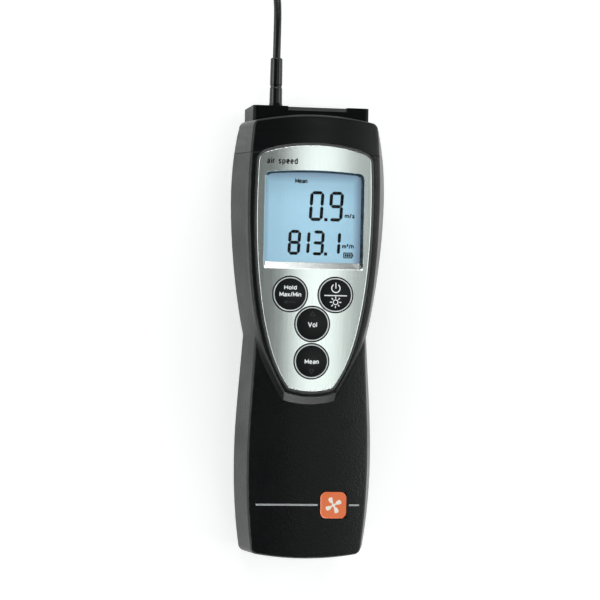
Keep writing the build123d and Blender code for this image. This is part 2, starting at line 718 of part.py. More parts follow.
# ---------------------------------------------------------------- the free lead
# The lead leaves the boot straight, comes down to the table and winds into a flat
# coil, and its other end goes on from the coil to the probe.
COLUMN_R = [COIL_MID_R + (i - 1) * 2 * LEAD_R for i in range(COIL_COLUMNS)]
LAYER_Z = [TABLE_GAP + LEAD_R * (1 + 2 * i) for i in range(COIL_LAYERS)]
RUN_ROUTE = (
    (LEAD_X, BOOT_END_Y, LEAD_Z),
    (-13.4, 122.0, 17.8),
    (-12.8, 135.0, 13.8),
    (-13.8, 148.0, 7.1),
    (-16.2, 161.0, 2.4),
    (-17.9, 172.5, LAYER_Z[0] + 0.05),
    (COIL_X - COLUMN_R[2], 182.5, LAYER_Z[0]),
)
TAIL_ROUTE = (
    (COIL_X - COLUMN_R[1], 188.0, LAYER_Z[3]),
    (COIL_X - COLUMN_R[1] - 0.1, 200.0, 11.0),
    (-14.5, 211.5, 9.0),
    (PROBE_X - 0.1, 222.5, 8.9),
    (PROBE_X, PROBE_START, PROBE_Z),
)


def corner_radii(route):
    """The largest arcs that each corner's two straight runs have room for."""
    points = [Vector(*p) for p in route]
    radii = []
    for before, at, after in zip(points, points[1:], points[2:]):
        come, go = at - before, after - at
        turn = radians(come.get_angle(go))
        radii.append(0.45 * min(come.length, go.length) / tan(turn / 2))
    return radii


def lead_tube(route):
    """A round tube along straight runs joined by tangent arcs."""
    radii = corner_radii(route)
    with BuildPart() as tube:
        with BuildLine():
            path = FilletPolyline(*route, radius=radii)
        with BuildSketch(Plane(origin=path @ 0, z_dir=path % 0)):
            Circle(LEAD_R)
        sweep()
    expected = path.length * pi * LEAD_R**2
    print("radii", [round(r, 1) for r in radii], "length", round(path.length, 1))
    print("volume", round(tube.part.volume, 1), "of", round(expected, 1))
    return tube.part


save(lead_tube(RUN_ROUTE), "cable_run")
save(lead_tube(TAIL_ROUTE), "cable_tail")

with BuildPart(Plane((COIL_X, COIL_Y, TABLE_GAP))) as cable_coil:
    coil_high = 2 * LEAD_R * COIL_LAYERS
    Cylinder(COLUMN_R[2] + LEAD_R, coil_high, align=(Align.CENTER, Align.CENTER, Align.MIN))
    Hole(COLUMN_R[0] - LEAD_R)
    fillet(cable_coil.edges().filter_by(GeomType.CIRCLE), LEAD_R * 0.8)
save(cable_coil.part, "cable_coil")

TIE_THICK = 0.6
with BuildPart() as coil_tie:
    reach = (COIL_X + COLUMN_R[0] - LEAD_R, COIL_X + COLUMN_R[2] + LEAD_R)
    slab(
        (reach[0] - TIE_THICK, reach[1] + TIE_THICK),
        (COIL_Y - 3.0, COIL_Y + 3.0),
        (TABLE_GAP, LAYER_Z[-1] + LEAD_R + TIE_THICK),
    )
    fillet(coil_tie.edges().filter_by(Axis.Y), 1.5)
    slab(
        (reach[0], reach[1]),
        (COIL_Y - 4.0, COIL_Y + 4.0),
        (TABLE_GAP + TIE_THICK, LAYER_Z[-1] + LEAD_R),
        Mode.SUBTRACT,
    )
save(coil_tie.part, "coil_tie")

# ---------------------------------------------------------------- probe
# Sizes along the probe are y; radii are from its own axis. Each tube is a running
# fit in the one before it: a wider rear end slides in the bore, and the collar at
# the mouth slides on the outside.
RUNNING = 0.05
HANDLE_Y_SPAN = (245.0, 397.0)
GRIP_Y = (258.0, 352.0)
HANDLE_R, GRIP_R = 8.2, 9.15
TUBES = (  # outer radius, inner radius, rear end, front end, collar rear, collar front
    (4.5, 4.0, 255.0, 405.0, 401.5, 408.0),
    (3.6, 3.15, 259.0, 412.0, 408.6, 415.0),
    (2.8, 2.35, 263.0, 426.0, None, None),
)
FLARE_LONG = 6.0
BORES = (5.0, 4.0, 3.15)  # what each tube's wider rear end slides in

probe_boot_profile = (
    (0.0, PROBE_START),
    (2.1, PROBE_START),
    (2.5, PROBE_START + 0.4),
    (3.0, 238.6),
    (2.6, 238.9),
    (2.6, 239.7),
    (3.1, 240.0),
    (4.6, HANDLE_Y_SPAN[0] - 0.05),
    (0.0, HANDLE_Y_SPAN[0] - 0.05),
)
save(turned(probe_boot_profile, PROBE_X, PROBE_Z), "probe_boot")

handle_profile = (
    (0.0, HANDLE_Y_SPAN[0]),
    (5.6, HANDLE_Y_SPAN[0]),
    (6.6, HANDLE_Y_SPAN[0] + 1.0),
    (HANDLE_R, GRIP_Y[0] - 4.0),
    (HANDLE_R, GRIP_Y[0]),
    (HANDLE_R - 1.0, GRIP_Y[0]),
    (HANDLE_R - 1.0, GRIP_Y[1]),
    (HANDLE_R, GRIP_Y[1]),
    (HANDLE_R, GRIP_Y[1] + 16.0),
    (7.0, HANDLE_Y_SPAN[1] - 9.0),
    (6.4, HANDLE_Y_SPAN[1] - 8.0),
    (6.4, HANDLE_Y_SPAN[1]),
    (BORES[0], HANDLE_Y_SPAN[1]),
    (BORES[0], 252.0),
    (0.0, 252.0),
)
save(turned(handle_profile, PROBE_X, PROBE_Z), "probe_handle")

grip_inside = HANDLE_R - 1.0 + 0.03
with BuildPart() as probe_grip:
    grip_profile = (
        (grip_inside, GRIP_Y[0] + 0.05),
        (GRIP_R - 0.5, GRIP_Y[0] + 0.05),
        (GRIP_R, GRIP_Y[0] + 1.5),
        (GRIP_R, GRIP_Y[1] - 1.5),
        (GRIP_R - 0.5, GRIP_Y[1] - 0.05),
        (grip_inside, GRIP_Y[1] - 0.05),
    )
    add(turned(grip_profile, PROBE_X, PROBE_Z))
    for i in range(12):
        ring_y = GRIP_Y[0] + 12.0 + i * 6.0
        with BuildSketch(Plane.XZ.offset(-ring_y)):
            with Locations((PROBE_X, PROBE_Z)):
                Circle(GRIP_R + 1)
                Circle(GRIP_R - 0.4, mode=Mode.SUBTRACT)
        extrude(amount=-1.2, mode=Mode.SUBTRACT)
save(probe_grip.part, "probe_grip")

collar_profile = (
    (6.43, 390.0),
    (7.3, 390.0),
    (7.6, 390.6),
    (7.6, 399.6),
    (6.6, 401.0),
    (TUBES[0][0] + RUNNING, 401.0),
    (TUBES[0][0] + RUNNING, HANDLE_Y_SPAN[1] + 0.1),
    (6.43, HANDLE_Y_SPAN[1] + 0.1),
)
save(turned(collar_profile, PROBE_X, PROBE_Z), "probe_collar")

for i, (outer, inner, rear, front_end, collar_rear, collar_front) in enumerate(TUBES):
    tube_profile = (
        (inner, rear),
        (BORES[i] - RUNNING, rear),
        (BORES[i] - RUNNING, rear + FLARE_LONG),
        (outer, rear + FLARE_LONG + 0.6),
        (outer, front_end),
        (inner, front_end),
    )
    save(turned(tube_profile, PROBE_X, PROBE_Z), f"tube_{i + 1}")
    if collar_rear is not None:
        next_outer = TUBES[i + 1][0]
        ferrule_profile = (
            (outer + 0.02, collar_rear),
            (outer + 0.5, collar_rear),
            (outer + 0.8, collar_rear + 0.3),
            (outer + 0.8, collar_front - 0.5),
            (outer + 0.3, collar_front),
            (next_outer + RUNNING, collar_front),
            (next_outer + RUNNING, front_end + 0.1),
            (outer + 0.02, front_end + 0.1),
        )
        save(turned(ferrule_profile, PROBE_X, PROBE_Z), f"ferrule_{i + 1}")

# ---------------------------------------------------------------- vane head
VANE_Y = 439.0
VANE_R, VANE_BORE = 8.0, 7.2
VANE_HALF = 6.5
NECK_R = 3.5
CAGE_R = VANE_BORE - 0.02
CAGE_RIM = 0.45
CAGE_THICK = 1.0
HUB_R = 1.8
JEWEL_R, PIVOT_R = 0.75, 0.22
ROTOR_TIP_R = 6.3
VANE_LOW, VANE_HIGH = PROBE_Z - VANE_HALF, PROBE_Z + VANE_HALF

neck_profile = (
    (TUBES[2][0] + 0.02, 415.6),
    (NECK_R - 0.3, 415.6),
    (NECK_R, 415.9),
    (NECK_R, 427.0),
    (2.9, VANE_Y - VANE_R + 1.5),
    (0.0, VANE_Y - VANE_R + 1.5),
    (0.0, TUBES[2][3] + 0.1),
    (TUBES[2][0] + 0.02, TUBES[2][3] + 0.1),
)
with BuildPart() as vane_head:
    add(turned(neck_profile, PROBE_X, PROBE_Z))
    with BuildSketch(Plane((PROBE_X, VANE_Y, VANE_LOW))):
        Circle(VANE_R)
    extrude(amount=2 * VANE_HALF)
    fillet(vane_head.edges().filter_by(lambda e: abs(e.length - 2 * pi * VANE_R) < 0.1), 0.25)
    with BuildSketch(Plane((PROBE_X, VANE_Y, VANE_LOW - 1))):
        Circle(VANE_BORE)
    extrude(amount=2 * VANE_HALF + 2, mode=Mode.SUBTRACT)
save(vane_head.part, "vane_head")

CAGE_LEVELS = (VANE_LOW + 0.6, VANE_HIGH - 0.6 - CAGE_THICK)
with BuildPart() as vane_guards:
    for level in CAGE_LEVELS:
        with BuildSketch(Plane((PROBE_X, VANE_Y, level))):
            Circle(CAGE_R)
            Circle(CAGE_R - CAGE_RIM, mode=Mode.SUBTRACT)
            with PolarLocations(CAGE_R / 2, 3, start_angle=90):
                Rectangle(CAGE_R - 0.2, 0.8)
            Circle(HUB_R)
            Circle(JEWEL_R, mode=Mode.SUBTRACT)
        extrude(amount=CAGE_THICK)
save(vane_guards.part, "vane_guards")

with BuildPart() as vane_bearings:
    for level in CAGE_LEVELS:
        with BuildSketch(Plane((PROBE_X, VANE_Y, level))):
            Circle(JEWEL_R - 0.01)
            Circle(PIVOT_R + 0.03, mode=Mode.SUBTRACT)
        extrude(amount=CAGE_THICK)
save(vane_bearings.part, "vane_bearings")

with BuildPart() as vane_shaft:
    with BuildSketch(Plane((PROBE_X, VANE_Y, CAGE_LEVELS[0] + 0.2))):
        Circle(PIVOT_R)
    extrude(amount=CAGE_LEVELS[1] + CAGE_THICK - CAGE_LEVELS[0] - 0.4)
save(vane_shaft.part, "vane_shaft")

with BuildPart(Plane((PROBE_X, VANE_Y, PROBE_Z))) as vane_rotor:
    Cylinder(1.5, 5.6)
    with PolarLocations((ROTOR_TIP_R + 1.2) / 2, 6):
        Box(ROTOR_TIP_R - 1.2, 0.35, 5.6, rotation=(38, 0, 0))
    Hole(PIVOT_R + 0.01)
save(vane_rotor.part, "vane_rotor")
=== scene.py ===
"""Looks of the handheld vane anemometer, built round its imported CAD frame."""

import math

import bmesh
import bpy
from mathutils import Matrix, Vector
from mathutils.geometry import delaunay_2d_cdt


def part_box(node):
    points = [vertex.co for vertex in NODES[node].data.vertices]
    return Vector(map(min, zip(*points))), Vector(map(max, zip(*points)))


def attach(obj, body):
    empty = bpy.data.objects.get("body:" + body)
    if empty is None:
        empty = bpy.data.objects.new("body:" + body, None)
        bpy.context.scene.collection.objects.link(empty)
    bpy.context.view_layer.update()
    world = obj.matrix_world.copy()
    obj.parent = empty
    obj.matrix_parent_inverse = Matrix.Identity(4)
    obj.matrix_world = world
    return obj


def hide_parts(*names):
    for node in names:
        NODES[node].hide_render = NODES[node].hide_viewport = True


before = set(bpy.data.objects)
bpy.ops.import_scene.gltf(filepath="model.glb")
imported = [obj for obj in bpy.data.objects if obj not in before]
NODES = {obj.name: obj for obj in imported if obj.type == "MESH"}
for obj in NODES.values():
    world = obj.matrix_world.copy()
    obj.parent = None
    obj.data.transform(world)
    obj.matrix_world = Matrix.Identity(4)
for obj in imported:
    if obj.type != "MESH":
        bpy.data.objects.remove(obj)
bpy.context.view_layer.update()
MM = 0.001

# ---------------------------------------------------------------- places and driving values
KEY_NAMES = ("hold", "power", "vol", "mean")
# The display opening, in metres
WINDOW_HALF, WINDOW_APEX, WINDOW_BASE = 0.0205, 0.0652, 0.0292
SLOPE_TOP = 0.00025  # the opening's sloping edge begins this far below the plate's top
SHADE_SIDE_WIDTH, SHADE_TOP_WIDTH = 0.0016, 0.0026  # widths of the painted shade on the slope's right side and top
PLATE_CROWN = 2.4  # curvature across the face plate, 1/m
SHELL_ARCH = 6.0  # the same across the housing
LCD_BRIGHT, LCD_DIM, LCD_SHADE = (0.46, 0.76, 0.95), (0.4, 0.69, 0.88), (0.16, 0.22, 0.36)
LCD_GLOW = 0.5
SHARP_ANGLE = math.radians(30.0)  # edges that turn more than this are shaded sharp


def middle(node):
    low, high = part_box(node)
    return (low + high) / 2


def top_of(node):
    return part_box(node)[1].z


def scaled(colour, factor):
    return tuple(c * factor for c in colour)


# ---------------------------------------------------------------- shader helpers
class Shader:
    """A material's node tree with short calls for what every finish here uses."""

    def __init__(self, name, colour, roughness, metallic=0.0, **values):
        self.material = bpy.data.materials.new(name)
        self.material.use_nodes = True
        self.tree = self.material.node_tree
        self.bsdf = self.tree.nodes["Principled BSDF"]
        self.bsdf.inputs["Base Color"].default_value = (*colour, 1.0)
        self.bsdf.inputs["Roughness"].default_value = roughness
        self.bsdf.inputs["Metallic"].default_value = metallic
        for socket, value in values.items():
            self.bsdf.inputs[socket.replace("_", " ")].default_value = value
        coordinates = self.add("ShaderNodeTexCoord")
        self.place = coordinates.outputs["Object"]

    def add(self, kind, **settings):
        node = self.tree.nodes.new(kind)
        for key, value in settings.items():
            setattr(node, key, value)
        return node

    def link(self, source, target):
        self.tree.links.new(source, target)

    def stretched(self, scale):
        """Object coordinates multiplied along each axis."""
        mapping = self.add("ShaderNodeMapping")
        mapping.inputs["Scale"].default_value = scale
        self.link(self.place, mapping.inputs["Vector"])
        return mapping.outputs["Vector"]

    def noise(self, scale, detail=3.0, rough=0.5, stretch=(1, 1, 1)):
        texture = self.add("ShaderNodeTexNoise")
        texture.inputs["Scale"].default_value = scale
        texture.inputs["Detail"].default_value = detail
        texture.inputs["Roughness"].default_value = rough
        self.link(self.stretched(stretch), texture.inputs["Vector"])
        return texture.outputs["Fac"]

    def voronoi(self, scale, stretch=(1, 1, 1)):
        texture = self.add("ShaderNodeTexVoronoi")
        texture.inputs["Scale"].default_value = scale
        self.link(self.stretched(stretch), texture.inputs["Vector"])
        return texture.outputs["Distance"]

    def ramp(self, source, stops):
        """Source mapped through colour stops of (position, colour)."""
        ramp = self.add("ShaderNodeValToRGB")
        elements = ramp.color_ramp.elements
        while len(elements) < len(stops):
            elements.new(0.5)
        for element, (position, colour) in zip(elements, stops):
            element.position = position
            element.color = (*colour, 1.0)
        self.link(source, ramp.inputs["Fac"])
        return ramp.outputs["Color"]

    def span(self, source, low, high, start=0.0, end=1.0):
        """Source's range low..high mapped to start..end, clamped."""
        node = self.add("ShaderNodeMapRange")
        node.inputs["From Min"].default_value = low
        node.inputs["From Max"].default_value = high
        node.inputs["To Min"].default_value = start
        node.inputs["To Max"].default_value = end
        self.link(source, node.inputs["Value"])
        return node.outputs["Result"]

    def maths(self, operation, first, second=None):
        node = self.add("ShaderNodeMath", operation=operation)
        for socket, value in zip(node.inputs, (first, second)):
            if value is None:
                continue
            if isinstance(value, (int, float)):
                socket.default_value = value
            else:
                self.link(value, socket)
        return node.outputs["Value"]

    def all_of(self, *masks):
        """1 where every one of several masks is 1."""
        product = masks[0]
        for mask in masks[1:]:
            product = self.maths("MULTIPLY", product, mask)
        return product

    def mix(self, factor, first, second):
        node = self.add("ShaderNodeMix", data_type="RGBA")
        sockets = (node.inputs[0], node.inputs[6], node.inputs[7])  # the factor and two colours
        for socket, value in zip(sockets, (factor, first, second)):
            if isinstance(value, tuple):
                socket.default_value = (*value, 1.0)
            elif isinstance(value, (int, float)):
                socket.default_value = value
            else:
                self.link(value, socket)
        return node.outputs[2]

    def axis(self, letter):
        split = self.add("ShaderNodeSeparateXYZ")
        self.link(self.place, split.inputs[0])
        return split.outputs[letter.upper()]

    def colour(self, source):
        self.link(source, self.bsdf.inputs["Base Color"])

    def roughness(self, source):
        self.link(source, self.bsdf.inputs["Roughness"])

    def crown(self, curvature):
        """A shallow arch across the width, in metres."""
        across = self.axis("x")
        return self.maths("MULTIPLY", self.maths("MULTIPLY", across, across), -curvature)

    def bump(self, height, distance, edge=0.0):
        """Relief of height times distance in metres, over edges softened by edge metres."""
        node = self.add("ShaderNodeBump")
        node.inputs["Strength"].default_value = 1.0
        node.inputs["Distance"].default_value = distance
        self.link(height, node.inputs["Height"])
        if edge:
            bevel = self.add("ShaderNodeBevel", samples=4)
            bevel.inputs["Radius"].default_value = edge
            self.link(bevel.outputs["Normal"], node.inputs["Normal"])
        self.link(node.outputs["Normal"], self.bsdf.inputs["Normal"])


# ---------------------------------------------------------------- materials
def textured_plastic(name, colour, roughness, grain, grain_scale, arch):
    """Moulded ABS with a fine spark-eroded grain, polished a little by handling."""
    s = Shader(name, colour, roughness, IOR=1.5, Specular_IOR_Level=0.3)
    fine = s.noise(grain_scale, 2.0, 0.6)
    cells = s.voronoi(grain_scale * 0.8)
    broad = s.noise(38.0, 3.0)
    speck = s.ramp(fine, [(0.42, scaled(colour, 0.6)), (0.66, scaled(colour, 5.0))])
    s.colour(s.mix(s.span(broad, 0.3, 0.7, 0.0, 0.35), speck, colour))
    s.roughness(s.span(broad, 0.3, 0.7, roughness - 0.06, roughness + 0.08))
    relief = s.maths("MULTIPLY", s.maths("ADD", fine, cells), grain)
    s.bump(s.maths("ADD", relief, s.crown(arch)), 1.0, edge=0.0004)
    return s.material


def satin_plastic(name, colour, roughness, arch=0.0, shine=0.3):
    """Smoother moulding with a faint orange peel and hairline scuffs."""
    s = Shader(name, colour, roughness, IOR=1.5, Specular_IOR_Level=shine)
    peel = s.noise(420.0, 2.0)
    scuff = s.noise(60.0, 6.0, 0.7, (1, 9, 1))
    s.colour(s.mix(s.span(scuff, 0.55, 0.75, 0.0, 0.35), colour, scaled(colour, 1.6)))
    s.roughness(s.span(scuff, 0.3, 0.75, roughness - 0.05, roughness + 0.12))
    relief = s.maths("MULTIPLY", peel, 0.00003)
    s.bump(s.maths("ADD", relief, s.crown(arch)), 1.0, edge=0.0003)
    return s.material


def gloss_plastic(name, colour, roughness):
    """Polished plastic with faint fingerprints in its gloss."""
    s = Shader(name, colour, roughness, IOR=1.49, Coat_Weight=0.4, Coat_Roughness=0.05)
    smear = s.noise(120.0, 5.0, 0.65)
    dust = s.noise(2500.0, 2.0)
    dusty = tuple(min(1, c * 3 + 0.02) for c in colour)
    s.roughness(s.span(smear, 0.4, 0.75, roughness, roughness + 0.12))
    s.colour(s.mix(s.span(dust, 0.66, 0.78, 0.0, 0.25), colour, dusty))
    s.bump(smear, 0.000006, edge=0.0002)
    return s.material


def brushed_plate(name):
    """Silver face plate, brushed along its length and slightly crowned across, with painted shade on its
    display opening's edges.
    """
    s = Shader(name, (0.78, 0.8, 0.8), 0.3, 1.0)
    strokes = s.noise(2600.0, 3.0, 0.6, (1.0, 0.02, 1.0))
    blotch = s.noise(45.0, 3.0)
    tone = s.ramp(strokes, [(0.2, (0.66, 0.71, 0.69)), (0.8, (0.8, 0.85, 0.83))])
    silver = s.mix(s.span(blotch, 0.3, 0.7, 0.0, 0.25), tone, (0.74, 0.77, 0.77))
    s.roughness(s.span(strokes, 0.2, 0.8, 0.19, 0.23))

    x, y, z = (s.axis(letter) for letter in "xyz")
    sunk = s.maths("LESS_THAN", z, top_of("face_plate") - SLOPE_TOP)
    slope = s.all_of(sunk, s.maths("LESS_THAN", s.maths("ABSOLUTE", x), WINDOW_HALF))
    # Painted shade: the display opening's sloping edge is coloured near black, not metallic, along its
    # right side and its top, where the recess lies in shade
    side = s.maths("GREATER_THAN", x, WINDOW_HALF - SHADE_SIDE_WIDTH)
    over = s.maths("GREATER_THAN", y, WINDOW_APEX - SHADE_TOP_WIDTH)
    below_apex = s.maths("LESS_THAN", y, WINDOW_APEX)
    painted_shade = s.all_of(slope, below_apex, s.maths("MAXIMUM", side, over))
    # Painted shade: its lower side is coloured a dimmer grey, darker to the right
    under = s.all_of(slope, s.maths("LESS_THAN", y, WINDOW_BASE))
    across = s.span(x, -WINDOW_HALF, WINDOW_HALF)
    painted_lip_shade = s.ramp(across, [(0.1, (0.75, 0.79, 0.77)), (0.9, (0.22, 0.235, 0.23))])

    s.colour(s.mix(painted_shade, s.mix(under, silver, painted_lip_shade), (0.003, 0.004, 0.005)))
    s.link(s.maths("SUBTRACT", 1.0, painted_shade), s.bsdf.inputs["Metallic"])
    relief = s.maths("ADD", s.crown(PLATE_CROWN), s.maths("MULTIPLY", strokes, 0.0000006))
    s.bump(relief, 1.0, edge=0.00008)
    return s.material


def bright_metal(name, colour, roughness, strokes_along):
    """Drawn or plated metal with fine lines along its working direction."""
    s = Shader(name, colour, roughness, 1.0)
    lines = s.noise(1400.0, 3.0, 0.6, strokes_along)
    cloud = s.noise(90.0, 4.0)
    s.colour(s.mix(s.span(cloud, 0.35, 0.7, 0.0, 0.4), colour, scaled(colour, 0.8)))
    s.roughness(s.span(lines, 0.25, 0.75, max(0.05, roughness - 0.08), roughness + 0.12))
    s.bump(lines, 0.000003, edge=0.0001)
    return s.material


def rubber(name, colour, roughness):
    """Soft moulded rubber: matt, with a paler bloom of dust in places."""
    s = Shader(name, colour, roughness, IOR=1.45)
    grain = s.noise(900.0, 4.0, 0.6)
    bloom = s.noise(70.0, 4.0)
    s.colour(s.mix(s.span(bloom, 0.45, 0.75, 0.0, 0.3), colour, scaled(colour, 2.2)))
    s.roughness(s.span(bloom, 0.3, 0.7, roughness - 0.1, roughness + 0.1))
    s.bump(grain, 0.00003, edge=0.0002)
    return s.material


def clear_window(name):
    """Clear acrylic: nearly all see-through, with a plain gloss on top."""
    s = Shader(name, (0.02, 0.022, 0.024), 0.05, IOR=1.49, Alpha=0.07)
    smear = s.noise(150.0, 4.0)
    s.roughness(s.span(smear, 0.4, 0.8, 0.03, 0.1))
    return s.material


def display_face(name):
    """Backlit blue display: a fine cell grid, a slow fall-off and shadow at three edges."""
    s = Shader(name, (0.45, 0.73, 0.92), 0.25)
    low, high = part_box("lcd_glass")
    centre = middle("lcd_glass")
    x, y = s.axis("x"), s.axis("y")
    grid = s.noise(1600.0, 1.0)
    off_centre = s.maths("ABSOLUTE", s.maths("SUBTRACT", x, centre.x))
    sideways = s.span(off_centre, 0.0, high.x - centre.x, 0.0, 0.5)
    upwards = s.maths("MULTIPLY", s.span(y, low.y, high.y), 0.25)
    lit = s.ramp(s.maths("ADD", sideways, upwards), [(0.0, LCD_BRIGHT), (1.0, LCD_DIM)])
    right_shade = s.span(x, centre.x + 0.0162, centre.x + 0.0189)
    left_shade = s.span(x, centre.x - 0.0178, centre.x - 0.0192, 0.0, 0.6)
    top_shade = s.span(y, high.y - 0.0055, high.y - 0.0015)
    shade = s.maths("MAXIMUM", s.maths("MAXIMUM", right_shade, left_shade), top_shade)
    glow = s.mix(s.maths("MULTIPLY", shade, 0.7), lit, LCD_SHADE)
    s.colour(s.mix(s.span(grid, 0.4, 0.6, 0.4, 0.46), glow, (0.1, 0.18, 0.24)))
    s.link(glow, s.bsdf.inputs["Emission Color"])
    s.bsdf.inputs["Emission Strength"].default_value = LCD_GLOW
    return s.material


def printed(name, colour, roughness):
    """Ink or a printed mark, with the slight unevenness of screen printing."""
    s = Shader(name, colour, roughness, Specular_IOR_Level=0.15)
    speck = s.noise(2600.0, 2.0)
    s.colour(s.mix(s.span(speck, 0.55, 0.75, 0.0, 0.3), colour, scaled(colour, 0.8)))
    s.bump(speck, 0.000004)
    return s.material


def circuit(name):
    """Green solder mask with copper tracks showing through."""
    s = Shader(name, (0.02, 0.16, 0.07), 0.3)
    tracks = s.voronoi(240.0, (1, 1, 0))
    s.colour(s.ramp(tracks, [(0.05, (0.05, 0.3, 0.13)), (0.16, (0.015, 0.13, 0.055))]))
    s.roughness(s.span(s.noise(200.0), 0.3, 0.7, 0.25, 0.4))
    s.bump(tracks, 0.00004)
    return s.material


def foam(name):
    """Open-celled dark foam."""
    s = Shader(name, (0.045, 0.045, 0.05), 0.95)
    cells = s.voronoi(1700.0)
    s.colour(s.ramp(cells, [(0.1, (0.02, 0.02, 0.022)), (0.5, (0.07, 0.07, 0.075))]))
    s.bump(cells, 0.0002)
    return s.material


shell = textured_plastic(
    "shell_texture", (0.0007, 0.0011, 0.0012), 0.34, grain=0.00007, grain_scale=1700.0, arch=SHELL_ARCH
)
cap = satin_plastic("cap_satin", (0.0012, 0.002, 0.0022), 0.3, arch=SHELL_ARCH, shine=0.27)
block = satin_plastic("block_satin", (0.0008, 0.001, 0.0012), 0.4, shine=0.1)
trim = gloss_plastic("trim_gloss", (0.004, 0.005, 0.0055), 0.12)
key_black = satin_plastic("key_satin", (0.0035, 0.0045, 0.005), 0.33)
white_plastic = satin_plastic("white_moulding", (0.62, 0.64, 0.64), 0.5)
chip = satin_plastic("chip_epoxy", (0.02, 0.02, 0.022), 0.45)
silicone = rubber("silicone", (0.2, 0.2, 0.21), 0.55)
inner_black = satin_plastic("inner_black", (0.03, 0.03, 0.032), 0.5)
boot_rubber = rubber("boot_rubber", (0.002, 0.0024, 0.0026), 0.22)
lead_jacket = rubber("lead_jacket", (0.004, 0.0045, 0.005), 0.28)
grip_rubber = rubber("grip_rubber", (0.011, 0.012, 0.0135), 0.6)
probe_plastic = satin_plastic("probe_satin", (0.008, 0.0095, 0.011), 0.36)
steel = bright_metal("drawn_steel", (0.62, 0.63, 0.64), 0.2, (1, 0.02, 1))
plated = bright_metal("plated_ring", (0.72, 0.73, 0.74), 0.16, (1, 1, 1))
screw_steel = bright_metal("zinc_screw", (0.5, 0.51, 0.52), 0.32, (1, 1, 1))
vane_metal = bright_metal("vane_satin", (0.55, 0.57, 0.58), 0.3, (1, 1, 0.05))
key_line = bright_metal("key_line", (0.72, 0.75, 0.76), 0.3, (1, 1, 1))
silver_line = bright_metal("handle_line", (0.6, 0.62, 0.63), 0.42, (1, 1, 1))
battery_case = satin_plastic("battery_print", (0.03, 0.035, 0.05), 0.3)
rotor_plastic = satin_plastic("rotor_plastic", (0.045, 0.05, 0.055), 0.35)
jewel = gloss_plastic("jewel", (0.35, 0.03, 0.05), 0.08)
amber = gloss_plastic("badge_amber", (0.76, 0.13, 0.012), 0.16)
label_paper = printed("label_print", (0.42, 0.43, 0.43), 0.55)

FINISH = {
    shell: ("front_shell", "rear_shell", "battery_cover"),
    cap: ("top_cap",),
    block: ("end_block",),
    trim: ("face_trim",),
    brushed_plate("face_plate_brushed"): ("face_plate",),
    clear_window("window_acrylic"): ("display_window",),
    display_face("display_blue"): ("lcd_glass",),
    white_plastic: ("lcd_frame", "backlight_panel", "lead_socket"),
    circuit("circuit_board"): ("main_pcb",),
    chip: ("microcontroller", "pcb_components"),
    silicone: ("keypad_mat", *(f"key_dome_{name}" for name in KEY_NAMES)),
    key_black: tuple(f"button_{name}" for name in KEY_NAMES),
    key_line: tuple(f"key_ring_{name}" for name in KEY_NAMES),
    battery_case: ("battery_9v",),
    foam("pad_foam"): ("battery_pad",),
    inner_black: ("battery_tray", "battery_snap", "lead_clamp"),
    screw_steel: ("case_screws", "pcb_screws"),
    amber: ("badge",),
    silver_line: ("badge_line",),
    label_paper: ("rear_label",),
    boot_rubber: ("cable_boot", "probe_boot"),
    lead_jacket: ("lead_inner", "battery_leads"),
    probe_plastic: ("probe_handle", "probe_collar"),
    grip_rubber: ("probe_grip",),
    steel: ("tube_1", "tube_2", "tube_3", "vane_shaft"),
    plated: ("ferrule_1", "ferrule_2"),
    vane_metal: ("vane_head", "vane_guards"),
    rotor_plastic: ("vane_rotor",),
    jewel: ("vane_bearings",),
}
for material, names in FINISH.items():
    for name in names:
        mesh = NODES[name].data
        mesh.materials.clear()
        mesh.materials.append(material)
for node in NODES.values():
    node.data.shade_smooth()
    node.data.set_sharp_from_angle(angle=SHARP_ANGLE)


# ---------------------------------------------------------------- building pieces
BAND_PIECE = 0.8  # longest straight piece of a printed line, so that it follows a domed key
MITRE_LIMIT = 0.6  # a band's corners reach out by its half width over this at most
WELD = 1e-4  # outlines share their corners within this, in mm
INSIDE = 1  # the triangulation keeps what lies inside the outlines
PRINT_HIGH = 0.00002  # the thickness of print, in metres


def place_piece(name, mesh, material, body):
    """A mesh of one material as a named piece that rides on a body."""
    mesh.materials.clear()
    mesh.materials.append(material)
    piece = bpy.data.objects.new(name, mesh)
    bpy.context.scene.collection.objects.link(piece)
    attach(piece, body)
    return piece


def turns_left(outline):
    pairs = zip(outline, outline[1:] + outline[:1])
    return sum(ax * by - bx * ay for (ax, ay), (bx, by) in pairs) > 0


def raised(name, outlines, base_z, material, body, high=PRINT_HIGH, drape=None):
    """The union of flat (x, y) outlines in mm, from base_z up by high (metres).
    drape(x, y) gives the surface's drop there, for marks on a domed key."""
    corners, rings = [], []
    for outline in outlines:
        rings.append([len(corners) + i for i in range(len(outline))])
        corners += [Vector(point) for point in (outline if turns_left(outline) else outline[::-1])]
    merged, _, triangles, _, _, sources = delaunay_2d_cdt(corners, [], rings, INSIDE, WELD)
    shape = bmesh.new()
    ring = [shape.verts.new((x * MM, y * MM, 0.0)) for x, y in merged]
    for triangle, covered_by in zip(triangles, sources):
        if covered_by:
            shape.faces.new([ring[i] for i in triangle])
    bmesh.ops.delete(shape, geom=[v for v in shape.verts if not v.link_faces], context="VERTS")
    shape.normal_update()
    for face in shape.faces:
        if face.normal.z < 0:
            face.normal_flip()
    sides = bmesh.ops.extrude_face_region(shape, geom=list(shape.faces))
    for item in sides["geom"]:
        if isinstance(item, bmesh.types.BMVert):
            item.co.z += high
    for vertex in shape.verts:
        fall = drape(vertex.co.x, vertex.co.y) if drape else 0.0
        vertex.co.z += base_z - fall
    bmesh.ops.recalc_face_normals(shape, faces=list(shape.faces))
    mesh = bpy.data.meshes.new(name)
    shape.to_mesh(mesh)
    shape.free()
    place_piece(name, mesh, material, body)


def box_outline(x, y, wide, high):
    """An upright rectangle whose lower left corner is (x, y)."""
    return [(x, y), (x + wide, y), (x + wide, y + high), (x, y + high)]


